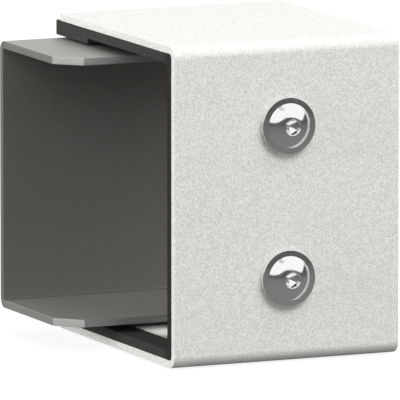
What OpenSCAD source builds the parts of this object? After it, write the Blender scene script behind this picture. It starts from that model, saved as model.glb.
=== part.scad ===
// Trunking length adapter: a folded cover with a moulded liner goes round two trunking ends,
// and a galvanised channel goes inside them. The trunking walls slide between liner and channel.
// X runs along the trunking, -Y is the screwed front and +Z is up. Y = 0 is the middle of the
// whole depth, and Z = 0 is the underside of the cover.

/* [Cover] */
// Length of the cover along the trunking
cover_l = 51.2; // [44:0.2:70]
// Depth of the cover's flanges, measured from its front face
cover_d = 59; // [54:1:66]
// Outside height of the cover
cover_h = 67.2; // [64:0.2:80]
// Coated sheet thickness of the cover
cover_t = 1.6; // [1.2:0.1:1.8]
// Inside radius of the cover's bends
cover_bend_r = 1; // [0.5:0.1:1.5]

/* [Liner] */
// Wall of the liner
liner_t = 2; // [1.6:0.1:2.2]
// Radius of the liner's inside corners
liner_corner_r = 2; // [1:0.1:3]
// Width of the strip between each end of the liner and its windows
strip_w = 6; // [4:0.5:10]
// Corner radius of the windows
window_r = 2; // [0.5:0.5:4]
// Depth of the solid band between the liner's web and its windows
band_d = 6; // [4:0.5:12]
// Length of the thick pads at the back edge of the flanges
pad_l = 16.4; // [10:0.2:20]
// How far the upper pad's face stands below the cover's sheet
pad_t = 3.1; // [2.7:0.1:3.3]
// How far the liner stands out behind the cover
lip = 2; // [0:0.1:3]

/* [Inner channel] */
// Length of the channel along the trunking
channel_l = 77.2; // [72:0.2:90]
// Depth of the channel's flanges, measured from its back face
channel_d = 32.8; // [26:0.2:36]
// Sheet thickness of the channel
channel_t = 1.6; // [1:0.1:2]
// Inside radius of the channel's bends
channel_bend_r = 0.5; // [0.3:0.1:1]
// Leg of the cut-off corners of the flanges
corner_cut = 5; // [2:0.5:8]
// Distance of the channel's back face in front of the liner's back edge
channel_inset = 0.1; // [0:0.1:1]
// Diameter of the small holes in the flanges
channel_hole_dia = 3.4; // [2.5:0.1:4.5]
// Distance between the two small holes of a flange
channel_hole_gap = 19.6; // [14:0.2:24]
// Distance of the small holes in front of the channel's back face
channel_hole_in = 22.7; // [19:0.1:24]

/* [Trunking] */
// Wall of the trunking that slides between the liner and the channel
trunking_wall = 1.5; // [1:0.1:1.6]
// Play of that wall
trunking_play = 0.1; // [0.1:0.05:0.3]

/* [Screws and nuts] */
// Distance between the two screws
screw_gap = 32; // [24:1:38]
// Nominal diameter of the screws
screw_dia = 5; // [4:0.5:5]
// Length of the screws under the head
screw_l = 12; // [10:1:16]
// Diameter of the screw's flange
flange_dia = 12; // [10:0.1:13]
// Thickness of the screw's flange
flange_t = 1.2; // [0.8:0.1:1.4]
// Diameter of the domed head
dome_dia = 9.5; // [8:0.1:9.8]
// Height of the dome over the flange
dome_h = 1.8; // [1.5:0.1:2.2]
// Key size of the hexagon socket
socket_af = 3; // [2:0.5:3]
// Depth of the hexagon socket's walls
socket_d = 1.4; // [1:0.1:1.8]
// Diameter of the clearance holes for the screws
screw_hole_dia = 5.5; // [5.3:0.1:6]
// Key size of the nut
nut_af = 8; // [7:0.5:9]
// Height of the nut with its flange
nut_h = 4.7; // [4:0.1:6]
// Thickness of the nut's flange
nut_flange_t = 1.2; // [0.8:0.1:1.5]

/* [Hidden] */

through = 1;          // extra length of a cut past the surface it opens
smooth = 96;          // facets of a full circle in the preview
edge_cut = 0.08;      // chamfer on turned rims
thread_play = 0.05;   // radial play between screw and nut
socket_rim = 0.18;    // width of the conical mouth round the socket
socket_slope = 28;    // slope of the socket's floor, in degrees

// Depths, from the front of the screw heads to the back of the liner
head_h = flange_t + dome_h;
socket_corner_r = socket_af / sqrt(3);
nut_corner_dia = nut_af * 2 / sqrt(3);
mouth_r = socket_corner_r + socket_rim / 2;
front_y = (head_h - cover_d - lip) / 2;
back_y = front_y + cover_d + lip;
web_in_y = front_y + cover_t;
liner_in_y = web_in_y + liner_t;
channel_back_y = back_y - channel_inset;
channel_front_y = channel_back_y - channel_d;
pad_y = back_y - pad_l;

// Heights: the trunking wall and its play set the channel inside the liner
mid_z = cover_h / 2;
channel_z = cover_t + liner_t + trunking_wall + trunking_play;
channel_h = cover_h - 2 * channel_z;

// Outline of a folded sheet's front, with both front corners round
module fold_outline(depth, height, r) {
    translate([r, 0]) square([depth - r, height]);
    translate([0, r]) square([depth, height - 2 * r]);
    translate([r, r]) circle(r, $fn = smooth);
    translate([r, height - r]) circle(r, $fn = smooth);
}

// Section of a U-shaped channel: the web lies at 0 and the flanges reach to depth
module u_section(depth, height, wall, out_r, in_r) {
    difference() {
        fold_outline(depth, height, out_r);
        translate([wall, wall]) fold_outline(depth, height - 2 * wall, in_r);
    }
}

// A section drawn in Y and Z, drawn out along X on both sides of the middle
module along_x(length) {
    rotate([90, 0, 90]) linear_extrude(height = length, center = true) children();
}

// A turned shape on a screw's axis, its foot on the plane y and its top towards the front
module facing_front(y, z) {
    translate([0, y, z]) rotate([90, 0, 0]) children();
}

// The clearance holes for both screws, from the front through wall
module screw_holes(y, wall) {
    for (side = [-1, 1])
        facing_front(y + wall + through, mid_z + side * screw_gap / 2)
            cylinder(h = wall + 2 * through, d = screw_hole_dia, $fn = smooth);
}

module outer_cover() {
    color("whitesmoke") difference() {
        translate([0, front_y, 0]) along_x(cover_l)
            u_section(cover_d, cover_h, cover_t, cover_bend_r + cover_t, cover_bend_r);
        screw_holes(front_y, cover_t);
    }
}

// The liner's upper pad clears the channel by the play; its lower pad carries the channel
module liner_pads() {
    upper = pad_t;
    lower = channel_z - cover_t;
    translate([pad_y, cover_t]) square([pad_l, lower]);
    translate([pad_y, cover_h - cover_t - upper]) square([pad_l, upper]);
}

// One window in each flange, between the end strips, the front band and the pads
module liner_windows() {
    x = cover_l / 2 - strip_w - window_r;
    y_low = liner_in_y + band_d + window_r;
    y_high = pad_y - window_r;
    linear_extrude(height = cover_h) {
        translate([-x - window_r, y_low]) square([2 * (x + window_r), y_high - y_low]);
        translate([-x, y_low - window_r]) square([2 * x, y_high - y_low + 2 * window_r]);
        for (at = [[-x, y_low], [x, y_low], [-x, y_high], [x, y_high]])
            translate(at) circle(window_r, $fn = smooth);
    }
}

module liner() {
    color("dimgray") difference() {
        along_x(cover_l) union() {
            translate([web_in_y, cover_t])
                u_section(back_y - web_in_y, cover_h - 2 * cover_t, liner_t,
                          cover_bend_r, liner_corner_r);
            liner_pads();
        }
        liner_windows();
        screw_holes(web_in_y, liner_t);
    }
}

// Plan of the channel, seen from above, with the two front corners cut off
module channel_plan() {
    half = channel_l / 2;
    polygon([
        [-half, channel_back_y], [half, channel_back_y],
        [half, channel_front_y + corner_cut], [half - corner_cut, channel_front_y],
        [corner_cut - half, channel_front_y], [-half, channel_front_y + corner_cut]
    ]);
}

module channel_holes() {
    for (side = [-1, 1])
        translate([side * channel_hole_gap / 2, channel_back_y - channel_hole_in, 0])
            cylinder(h = cover_h, d = channel_hole_dia, $fn = smooth);
}

module inner_channel() {
    color("silver") difference() {
        intersection() {
            translate([0, channel_back_y, channel_z]) mirror([0, 1, 0]) along_x(channel_l)
                u_section(channel_d, channel_h, channel_t,
                          channel_bend_r + channel_t, channel_bend_r);
            linear_extrude(height = cover_h) channel_plan();
        }
        channel_holes();
    }
}

// A cylinder whose upper rim is chamfered
module rimmed_disc(dia, height) {
    cylinder(h = height - edge_cut, d = dia, $fn = smooth);
    translate([0, 0, height - edge_cut])
        cylinder(h = edge_cut, d1 = dia, d2 = dia - 2 * edge_cut, $fn = smooth);
}

// Part of a ball that starts at the dome's foot and ends in a small flat round the socket
module dome() {
    base_r = dome_dia / 2;
    ball_z = (mouth_r ^ 2 + dome_h ^ 2 - base_r ^ 2) / (2 * dome_h);
    intersection() {
        translate([0, 0, flange_t + ball_z]) sphere(sqrt(base_r ^ 2 + ball_z ^ 2), $fn = smooth);
        cylinder(h = head_h, r = base_r, $fn = smooth);
    }
}

// Hexagon socket, one corner up, with a conical mouth and six floor faces that slope inwards
module socket() {
    floor_h = socket_corner_r * tan(socket_slope);
    rotate(90) {
        translate([0, 0, head_h - socket_d])
            cylinder(h = socket_d + through, r = socket_corner_r, $fn = 6);
        translate([0, 0, head_h - socket_d - floor_h])
            cylinder(h = floor_h, r1 = 0, r2 = socket_corner_r, $fn = 6);
    }
    translate([0, 0, head_h - socket_rim])
        cylinder(h = 2 * socket_rim, r1 = mouth_r - socket_rim, r2 = mouth_r + socket_rim,
                 $fn = smooth);
}

module screw(z) {
    shank_r = screw_dia / 2 - thread_play;
    tip = screw_dia / 8;
    color("gainsboro") facing_front(front_y, z) difference() {
        union() {
            rimmed_disc(flange_dia, flange_t);
            dome();
            translate([0, 0, tip - screw_l])
                cylinder(h = screw_l - tip, r = shank_r, $fn = smooth);
            translate([0, 0, -screw_l])
                cylinder(h = tip, r1 = shank_r - tip, r2 = shank_r, $fn = smooth);
        }
        socket();
    }
}

// Flanged nut that presses the liner against the cover; its flange faces the front
module nut(z) {
    color("lightgray") facing_front(liner_in_y, z) difference() {
        union() {
            mirror([0, 0, 1]) rimmed_disc(flange_dia, nut_flange_t);
            mirror([0, 0, 1]) intersection() {
                cylinder(h = nut_h, d = nut_corner_dia, $fn = 6);
                rimmed_disc(nut_corner_dia - edge_cut, nut_h);
            }
        }
        translate([0, 0, -nut_h - through])
            cylinder(h = nut_h + 2 * through, d = screw_dia, $fn = smooth);
    }
}

module screw_upper() screw(mid_z + screw_gap / 2);
module screw_lower() screw(mid_z - screw_gap / 2);
module nut_upper() nut(mid_z + screw_gap / 2);
module nut_lower() nut(mid_z - screw_gap / 2);

outer_cover();
liner();
inner_channel();
screw_upper();
screw_lower();
nut_upper();
nut_lower();
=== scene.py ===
"""Looks of the trunking length adapter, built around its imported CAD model."""

import math

import bmesh
import bpy
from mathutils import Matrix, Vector


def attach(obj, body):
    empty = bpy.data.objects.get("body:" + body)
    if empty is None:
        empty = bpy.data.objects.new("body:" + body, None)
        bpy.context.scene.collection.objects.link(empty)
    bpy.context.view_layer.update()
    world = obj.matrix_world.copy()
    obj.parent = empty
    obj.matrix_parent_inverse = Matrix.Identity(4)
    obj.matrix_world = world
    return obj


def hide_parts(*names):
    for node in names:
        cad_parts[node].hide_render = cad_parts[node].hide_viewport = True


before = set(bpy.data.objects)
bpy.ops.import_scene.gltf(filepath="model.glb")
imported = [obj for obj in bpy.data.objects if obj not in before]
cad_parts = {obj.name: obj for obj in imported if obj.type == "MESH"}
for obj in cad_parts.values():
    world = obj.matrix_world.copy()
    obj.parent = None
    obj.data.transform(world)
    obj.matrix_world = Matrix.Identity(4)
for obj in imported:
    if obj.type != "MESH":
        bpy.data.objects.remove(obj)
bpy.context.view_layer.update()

MM = 0.001

# Camera: the photograph's viewing angle, worked out for a frame of 400 by 400
SENSOR = 36.0
LENS = 961.6
VIEW_TURN = 24.22          # degrees to the left of the front
VIEW_RISE = 8.655          # degrees above the level
VIEW_DISTANCE = 2.2402
AIM = Vector((-0.00583, 0.00204, 0.03002))

# Studio: strengths are linear, where 1 is white
MIDDLE = Vector((0, -0.03, 0.0336))
SKY = 0.64                 # light from high up
HORIZON = 0.62             # light from just above the level
FLOOR_RADIUS = 6.0
FLOOR_GREY = 0.23
FLOOR_GLOW = 0.88
CARD_STEP = 0.2 * MM       # height between floor, floor card and object
CARD_DISTANCE = 1.3
CARD_NEAR = 0.215          # floor card under the object and CARD_FADE away from it
CARD_FAR = 0.15
CARD_FADE = 0.3
CARD_WALL = 0.10
CARD_STRIP = 0.5

# Painted shade on the webs of channel and liner: where the darker tone starts and is full, and
# how dark it is
WEB_FROM = 28.5 * MM
WEB_FULL = 30.0 * MM
WEB_PAINTED_SHADE = 0.85
FLANGE_TOP = 6.85 * MM     # just over the lower flange, where its painted light ends
FLANGE_END = 7.3 * MM
FLANGE_PAINTED_LIGHT = 1.13
LINER_WEB_FROM = -23.5 * MM
LINER_WEB_FULL = -25.0 * MM
LINER_WEB_PAINTED_SHADE = 0.45

# Parts of the channel with a finish of their own (the cut edges), and parts with painted shade
# (the inside of the folds and the walls of the small holes)
CUTS_END = 4.6 * MM
FOLD_FROM = 29.6 * MM
FOLD_PAINTED_SHADE = 0.78
HOLE_X = 9.8 * MM
HOLE_Y = 9.2 * MM
HOLE_REACH = 2.0 * MM

# Front face of the screws' flange: a flat cone from the dome's foot to the rim
RING_Y = -30.2 * MM
RING_FROM = 4.8 * MM
RING_SLOPE = 5.0           # degrees

# M5 thread of the screws, from under the head to the tip
HEAD_FOOT = -29.0 * MM
SHANK_LENGTH = 12.0 * MM
THREAD_OUTER = 2.45 * MM
THREAD_ROOT = 2.07 * MM
THREAD_PITCH = 0.8 * MM
THREAD_TIP = 0.625 * MM


def set_camera():
    data = bpy.data.cameras.new("camera")
    data.sensor_width = SENSOR
    data.lens = LENS
    data.clip_end = 50.0
    camera = bpy.data.objects.new("camera", data)
    turn, rise = math.radians(VIEW_TURN), math.radians(VIEW_RISE)
    back = Vector((-math.sin(turn) * math.cos(rise), -math.cos(turn) * math.cos(rise),
                   math.sin(rise)))
    camera.location = AIM + back * VIEW_DISTANCE
    camera.rotation_euler = (-back).to_track_quat("-Z", "Y").to_euler()
    bpy.context.scene.collection.objects.link(camera)
    bpy.context.scene.camera = camera


class Nodes:
    """A material's node tree with short calls to add and join nodes."""

    def __init__(self, name, tree=None):
        if tree is None:
            self.material = bpy.data.materials.new(name)
            self.material.use_nodes = True
            tree = self.material.node_tree
        self.tree = tree
        self.tree.nodes.clear()

    def add(self, kind, settings=None, **inputs):
        node = self.tree.nodes.new(kind)
        for key, value in (settings or {}).items():
            setattr(node, key, value)
        for key, value in inputs.items():
            socket = int(key) if key.isdigit() else key.replace("_", " ")
            self.feed(node.inputs[socket], value)
        return node

    def feed(self, socket, value):
        if hasattr(value, "links"):
            self.tree.links.new(value, socket)
        else:
            socket.default_value = value

    def join(self, shader, socket):
        self.tree.links.new(shader.outputs[0], socket)

    def finish(self, shader):
        out = self.add("ShaderNodeOutputMaterial")
        self.join(shader, out.inputs["Surface"])

    def background_ray(self):
        """1 for rays of the camera, of reflections and of glass, else 0."""
        path = self.add("ShaderNodeLightPath")
        seen = path.outputs["Is Camera Ray"]
        for kind in ("Is Glossy Ray", "Is Transmission Ray"):
            seen = self.add("ShaderNodeMath", {"operation": "MAXIMUM"}, **{"0": seen})
            self.tree.links.new(path.outputs[kind], seen.inputs[1])
            seen = seen.outputs[0]
        return seen

    def ramp(self, fac, stops):
        node = self.add("ShaderNodeValToRGB", Fac=fac)
        elements = node.color_ramp.elements
        while len(elements) < len(stops):
            elements.new(0.5)
        for element, (place, colour) in zip(elements, stops):
            element.position = place
            element.color = (*colour, 1.0)
        return node.outputs["Color"]

    def noise(self, size, detail=2.0, roughness=0.5):
        """Noise whose grains are about size metres, in the object's own frame."""
        place = self.add("ShaderNodeTexCoord").outputs["Object"]
        node = self.add("ShaderNodeTexNoise", Vector=place, Scale=1.0 / size,
                        Detail=detail, Roughness=roughness)
        return node.outputs["Fac"]

    def toned(self, colour, axis, start, end, tone_start, tone_end):
        """The colour scaled by a tone that changes along an axis of the object's frame."""
        place = self.add("ShaderNodeTexCoord").outputs["Object"]
        along = self.add("ShaderNodeSeparateXYZ", Vector=place).outputs[axis]
        tone = self.add("ShaderNodeMapRange", Value=along, From_Min=start, From_Max=end,
                        To_Min=tone_start, To_Max=tone_end)
        scaled = self.add("ShaderNodeVectorMath", {"operation": "SCALE"}, **{"0": colour},
                          Scale=tone.outputs["Result"])
        return scaled.outputs["Vector"]


def powder_coat():
    """White coat with a fine orange-peel grain."""
    n = Nodes("white_powder_coat")
    grain = n.noise(0.26 * MM, detail=2.0, roughness=0.6)
    colour = n.ramp(grain, [(0.40, (0.69, 0.70, 0.66)), (0.60, (0.94, 0.95, 0.91))])
    bump = n.add("ShaderNodeBump", Height=grain, Strength=0.5, Distance=0.06 * MM)
    shader = n.add("ShaderNodeBsdfPrincipled", Base_Color=colour, Roughness=0.62,
                   Normal=bump.outputs["Normal"])
    n.finish(shader)
    return n.material


def dark_plastic():
    """Matte moulded plastic, nearly black, with painted shade on the liner's web."""
    n = Nodes("dark_liner_plastic")
    grain = n.noise(0.5 * MM, detail=3.0)
    colour = n.ramp(grain, [(0.3, (0.034, 0.033, 0.031)), (0.7, (0.046, 0.045, 0.042))])
    # Painted shade: the liner's web is darkened
    colour = n.toned(colour, "Y", LINER_WEB_FULL, LINER_WEB_FROM, LINER_WEB_PAINTED_SHADE, 1.0)
    bump = n.add("ShaderNodeBump", Height=grain, Strength=0.2, Distance=0.03 * MM)
    shader = n.add("ShaderNodeBsdfPrincipled", Base_Color=colour, Roughness=0.7,
                   Normal=bump.outputs["Normal"])
    shader.inputs["Specular IOR Level"].default_value = 0.3
    n.finish(shader)
    return n.material


def galvanised(name, painted_shade_tone=1.0):
    """Zinc-coated sheet with a fine spangle, painted shade on the web, painted light on the low
    flange, and darker overall by a tone given for painted shade.
    """
    n = Nodes(name)
    fine = n.noise(0.4 * MM, detail=3.0, roughness=0.6)
    colour = n.ramp(fine, [(0.3, (0.405, 0.393, 0.372)), (0.7, (0.485, 0.470, 0.445))])
    # Painted shade: darker towards the inside of the channel's web, and darker overall by the
    # tone given for painted shade
    colour = n.toned(colour, "Y", WEB_FROM, WEB_FULL, painted_shade_tone, painted_shade_tone * WEB_PAINTED_SHADE)
    # Painted light: the lower flange is made lighter
    colour = n.toned(colour, "Z", FLANGE_TOP, FLANGE_END, FLANGE_PAINTED_LIGHT, 1.0)
    rough = n.add("ShaderNodeMapRange", Value=fine, To_Min=0.50, To_Max=0.64)
    bump = n.add("ShaderNodeBump", Height=fine, Strength=0.4, Distance=0.04 * MM)
    shader = n.add("ShaderNodeBsdfPrincipled", Base_Color=colour, Metallic=1.0,
                   Roughness=rough.outputs["Result"], Normal=bump.outputs["Normal"])
    n.finish(shader)
    return n.material


def sheared_zinc():
    """Cut edges of the zinc-coated sheet: torn metal that scatters more light."""
    n = Nodes("sheared_sheet_edge")
    torn = n.noise(0.3 * MM, detail=4.0, roughness=0.7)
    colour = n.ramp(torn, [(0.35, (0.44, 0.43, 0.42)), (0.65, (0.66, 0.65, 0.63))])
    bump = n.add("ShaderNodeBump", Height=torn, Strength=0.4, Distance=0.05 * MM)
    shader = n.add("ShaderNodeBsdfPrincipled", Base_Color=colour, Metallic=0.75,
                   Roughness=0.55, Normal=bump.outputs["Normal"])
    n.finish(shader)
    return n.material


def bright_zinc():
    """Polished zinc plate of the screws."""
    n = Nodes("bright_zinc")
    wear = n.noise(1.5 * MM, detail=4.0)
    rough = n.add("ShaderNodeMapRange", Value=wear, To_Min=0.08, To_Max=0.16)
    shader = n.add("ShaderNodeBsdfPrincipled", Base_Color=(0.93, 0.93, 0.925, 1.0),
                   Metallic=1.0, Roughness=rough.outputs["Result"])
    n.finish(shader)
    return n.material


def dull_zinc():
    """Zinc plate of the nuts."""
    n = Nodes("dull_zinc")
    wear = n.noise(1.0 * MM, detail=4.0)
    rough = n.add("ShaderNodeMapRange", Value=wear, To_Min=0.25, To_Max=0.4)
    shader = n.add("ShaderNodeBsdfPrincipled", Base_Color=(0.6, 0.6, 0.6, 1.0),
                   Metallic=1.0, Roughness=rough.outputs["Result"])
    n.finish(shader)
    return n.material


def softened(node, name, material, edge, segments=2):
    """A copy of a CAD node with its sharp edges rounded to edge metres."""
    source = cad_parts[node]
    bm = bmesh.new()
    bm.from_mesh(source.data)
    bmesh.ops.remove_doubles(bm, verts=bm.verts, dist=0.0005 * MM)
    bmesh.ops.dissolve_limit(bm, angle_limit=math.radians(0.5), verts=bm.verts,
                             edges=bm.edges, delimit=set())
    sharp = [e for e in bm.edges
             if len(e.link_faces) == 2 and e.calc_face_angle() > math.radians(30)]
    bmesh.ops.bevel(bm, geom=sharp, offset=edge, segments=segments, profile=0.5,
                    affect="EDGES", clamp_overlap=True)
    for face in bm.faces:
        face.smooth = True
    mesh = bpy.data.meshes.new(name)
    bm.to_mesh(mesh)
    bm.free()
    mesh.set_sharp_from_angle(angle=math.radians(40))
    mesh.materials.append(material)
    piece = bpy.data.objects.new(name, mesh)
    bpy.context.scene.collection.objects.link(piece)
    weighted = piece.modifiers.new("flat faces stay flat", "WEIGHTED_NORMAL")
    weighted.keep_sharp = True
    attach(piece, "root")
    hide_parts(node)
    return piece


def slope_flange(piece):
    """Lowers the flange's rim a little, so that its flat front becomes a shallow cone."""
    bm = bmesh.new()
    bm.from_mesh(piece.data)
    heights = [v.co.z for v in bm.verts]
    middle = (min(heights) + max(heights)) / 2
    ring = [f for f in bm.faces if f.normal.y < -0.99
            and abs(f.calc_center_median().y - RING_Y) < 0.02 * MM]
    bmesh.ops.delete(bm, geom=ring, context="FACES")
    for v in bm.verts:
        radius = math.hypot(v.co.x, v.co.z - middle)
        if radius > RING_FROM and v.co.y < RING_Y + 0.3 * MM:
            v.co.y += (radius - RING_FROM) * math.tan(math.radians(RING_SLOPE))
    bmesh.ops.bridge_loops(bm, edges=[e for e in bm.edges if e.is_boundary])
    bmesh.ops.recalc_face_normals(bm, faces=bm.faces)
    for face in bm.faces:
        face.smooth = True
    bm.to_mesh(piece.data)
    bm.free()
    piece.data.set_sharp_from_angle(angle=math.radians(40))


def thread_radius(along, turned):
    """Radius of the thread at a distance under the head and a share of a full turn."""
    phase = (along / THREAD_PITCH + turned) % 1.0
    ridge = 1.0 - abs(2.0 * phase - 1.0)
    radius = THREAD_ROOT + (THREAD_OUTER - THREAD_ROOT) * min(1.0, 1.25 * ridge)
    taper = THREAD_OUTER - max(0.0, THREAD_TIP - (SHANK_LENGTH - along))
    return min(radius, taper)


def cut_thread(piece, rows=96):
    """Swaps a screw's plain shank for a helical thread that grows out of the head's own rim."""
    bm = bmesh.new()
    bm.from_mesh(piece.data)
    shank = [v for v in bm.verts if v.co.y > HEAD_FOOT + 0.02 * MM]
    middle = sum(v.co.z for v in shank) / len(shank)
    bmesh.ops.delete(bm, geom=shank, context="VERTS")
    rim = {v for e in bm.edges if e.is_boundary for v in e.verts}
    around = sorted((math.atan2(v.co.x, v.co.z - middle), v.index, v) for v in rim)
    rings = [[v for _, _, v in around]]
    for row in range(1, rows + 1):
        along = SHANK_LENGTH * row / rows
        ring = []
        for angle, _, _ in around:
            radius = thread_radius(along, angle / (2 * math.pi))
            ring.append(bm.verts.new((radius * math.sin(angle), HEAD_FOOT + along,
                                      middle + radius * math.cos(angle))))
        rings.append(ring)
    for first, second in zip(rings, rings[1:]):
        for step in range(len(first)):
            after = (step + 1) % len(first)
            bm.faces.new((first[step], second[step], second[after], first[after]))
    bm.faces.new(rings[-1])
    bmesh.ops.recalc_face_normals(bm, faces=bm.faces)
    for face in bm.faces:
        face.smooth = True
    bm.to_mesh(piece.data)
    bm.free()
    piece.data.set_sharp_from_angle(angle=math.radians(40))


def link_new(name, data):
    thing = bpy.data.objects.new(name, data)
    bpy.context.scene.collection.objects.link(thing)
    return thing


def toward(turn, rise):
    """The direction turn degrees right of the front and rise degrees above the level."""
    a, b = math.radians(turn), math.radians(rise)
    return Vector((math.sin(a) * math.cos(b), -math.cos(a) * math.cos(b), math.sin(b)))


def softbox(name, turn, rise, distance, size, power, in_metal=False):
    """A square area light that faces the object; metal shows it only if in_metal."""
    data = bpy.data.lights.new(name, "AREA")
    data.shape = "SQUARE"
    data.size = size
    data.energy = power
    light = link_new(name, data)
    light.location = MIDDLE + toward(turn, rise) * distance
    light.rotation_euler = toward(turn, rise).to_track_quat("Z", "Y").to_euler()
    light.visible_glossy = in_metal
    return light


def window_fill(place, size, power):
    """A small lamp under the channel's flange for the light that bounces in there."""
    data = bpy.data.lights.new("window_fill", "AREA")
    data.shape = "SQUARE"
    data.size = size
    data.energy = power
    light = link_new("window_fill", data)
    light.location = place
    light.visible_glossy = False
    light.visible_camera = False
    return light


def only_on(light, pieces):
    """Lets a light reach only the given pieces."""
    lit = bpy.data.collections.new(light.name + "_reaches")
    for piece in pieces:
        lit.objects.link(piece)
    light.light_linking.receiver_collection = lit


def mark_faces(piece, material, chosen):
    """Gives the faces that chosen(face) picks their own material."""
    piece.data.materials.append(material)
    for face in piece.data.polygons:
        if chosen(face):
            face.material_index = len(piece.data.materials) - 1


def is_cut_edge(face):
    """The channel's front edges and corner cuts."""
    return face.normal.y < -0.5 and face.center.y < CUTS_END


def is_fold_or_hole(face):
    """The inside of the channel's folds, and the walls of its small holes: the faces that get
    painted shade.
    """
    fold = -0.97 < face.normal.y < -0.05 and face.center.y > FOLD_FROM
    across = abs(abs(face.center.x) - HOLE_X), abs(face.center.y - HOLE_Y)
    return fold or abs(face.normal.z) < 0.2 and math.hypot(*across) < HOLE_REACH


def set_world():
    """White to the camera and in metal; as light, a glow low down and one high up."""
    world = bpy.data.worlds.new("studio")
    world.use_nodes = True
    bpy.context.scene.world = world
    n = Nodes("studio", world.node_tree)
    place = n.add("ShaderNodeTexCoord").outputs["Generated"]
    height = n.add("ShaderNodeSeparateXYZ", Vector=place).outputs["Z"]
    sky = n.ramp(height, [(0.0, (HORIZON,) * 3), (0.2, (HORIZON,) * 3), (0.35, (0.0,) * 3),
                          (0.5, (0.0,) * 3), (0.7, (SKY,) * 3)])
    light = n.add("ShaderNodeBackground", Color=sky)
    white = n.add("ShaderNodeBackground", Color=(1.0, 1.0, 1.0, 1.0))
    mix = n.add("ShaderNodeMixShader", Fac=n.background_ray())
    n.join(light, mix.inputs[1])
    n.join(white, mix.inputs[2])
    out = n.add("ShaderNodeOutputWorld")
    n.join(mix, out.inputs["Surface"])


def set_floor():
    """A pale floor, white to the camera and in metal, that keeps the object's shadow."""
    mesh = bpy.data.meshes.new("floor")
    bm = bmesh.new()
    bmesh.ops.create_circle(bm, cap_ends=True, segments=64, radius=FLOOR_RADIUS)
    bm.to_mesh(mesh)
    bm.free()
    floor = link_new("floor", mesh)
    floor.location.z = -2 * CARD_STEP
    n = Nodes("pale_floor")
    plain = n.add("ShaderNodeBsdfDiffuse", Color=(FLOOR_GREY,) * 3 + (1.0,))
    glow = n.add("ShaderNodeEmission", Strength=FLOOR_GLOW)
    lit = n.add("ShaderNodeAddShader")
    n.join(plain, lit.inputs[0])
    n.join(glow, lit.inputs[1])
    mix = n.add("ShaderNodeMixShader", Fac=n.background_ray())
    n.join(plain, mix.inputs[1])
    n.join(lit, mix.inputs[2])
    n.finish(mix)
    mesh.materials.append(n.material)


def reflected_card(name, corners_low, corners_high, grey, near_grey=None):
    """A grey strip between two rows of points that only metal shows."""
    near_grey = near_grey or grey
    mesh = bpy.data.meshes.new(name)
    bm = bmesh.new()
    low = [bm.verts.new(p) for p in corners_low]
    high = [bm.verts.new(p) for p in corners_high]
    for i in range(len(low) - 1):
        bm.faces.new((low[i], low[i + 1], high[i + 1], high[i]))
    bm.to_mesh(mesh)
    bm.free()
    card = link_new(name, mesh)
    n = Nodes(name)
    place = n.add("ShaderNodeTexCoord").outputs["Object"]
    away = n.add("ShaderNodeVectorMath", {"operation": "LENGTH"}, **{"0": place})
    fade = n.add("ShaderNodeMapRange", Value=away.outputs["Value"], From_Max=CARD_FADE,
                 To_Min=near_grey, To_Max=grey)
    n.finish(n.add("ShaderNodeEmission", Strength=fade.outputs["Result"]))
    mesh.materials.append(n.material)
    card.visible_camera = False
    card.visible_diffuse = False
    card.visible_transmission = False
    card.visible_shadow = False


def set_cards():
    """What the screws mirror: a grey floor, a dark low wall in front and a strip overhead."""
    turns = range(-180, 181, 6)
    centre = [Vector((0, 0, -CARD_STEP))] * len(turns)
    rim = [toward(t, 0) * CARD_DISTANCE - Vector((0, 0, CARD_STEP)) for t in turns]
    reflected_card("floor_card", centre, rim, CARD_FAR, CARD_NEAR)
    front = range(-80, 121, 4)
    wall_top = [9 + 19 * math.exp(-((t - 2) / 27) ** 2) + 9 / (1 + math.exp((75 - t) / 4))
                for t in front]
    foot = [MIDDLE + toward(t, -4) * CARD_DISTANCE * 0.9 for t in front]
    top = [MIDDLE + toward(t, rise) * CARD_DISTANCE * 0.9 for t, rise in zip(front, wall_top)]
    reflected_card("dark_wall", foot, top, CARD_WALL)
    overhead = range(-30, 1, 5)
    reflected_card("overhead_strip",
                   [MIDDLE + toward(t, 57) * CARD_DISTANCE for t in overhead],
                   [MIDDLE + toward(t, 64) * CARD_DISTANCE for t in overhead], CARD_STRIP)


set_camera()
set_world()
set_floor()
set_cards()
softbox("left_softbox", -90, 12, 1.5, 0.5, 14.9)
softbox("front_softbox", 20, 50, 1.5, 1.2, 20.7)

coat = powder_coat()
plastic = dark_plastic()
zinc_sheet = galvanised("galvanised_sheet")
zinc_bright = bright_zinc()
zinc_dull = dull_zinc()

cover = softened("outer_cover", "cover_shell", coat, 0.15 * MM)
liner = softened("liner", "liner_frame", plastic, 0.2 * MM)
sheet = softened("inner_channel", "channel_sheet", zinc_sheet, 0.12 * MM)
mark_faces(sheet, sheared_zinc(), is_cut_edge)
# Painted shade: a darker copy of the sheet material on the folds and the hole walls
mark_faces(sheet, galvanised("fold_and_hole_painted_shade", FOLD_PAINTED_SHADE), is_fold_or_hole)
for level in ("upper", "lower"):
    screw = softened(f"screw_{level}", f"flanged_screw_{level}", zinc_bright,
                     0.02 * MM)
    slope_flange(screw)
    cut_thread(screw)
    softened(f"nut_{level}", f"flange_nut_{level}", zinc_dull, 0.08 * MM)

sheet_glow = softbox("sheet_glow", -55, 30, 1.5, 0.9, 10.2, in_metal=True)
sheet_glow.visible_diffuse = False
only_on(sheet_glow, [sheet])
only_on(window_fill(Vector((-0.0105, 0.007, 0.0049)), 0.008, 0.00028), [cover, liner])

bpy.context.scene.view_settings.view_transform = "Standard"
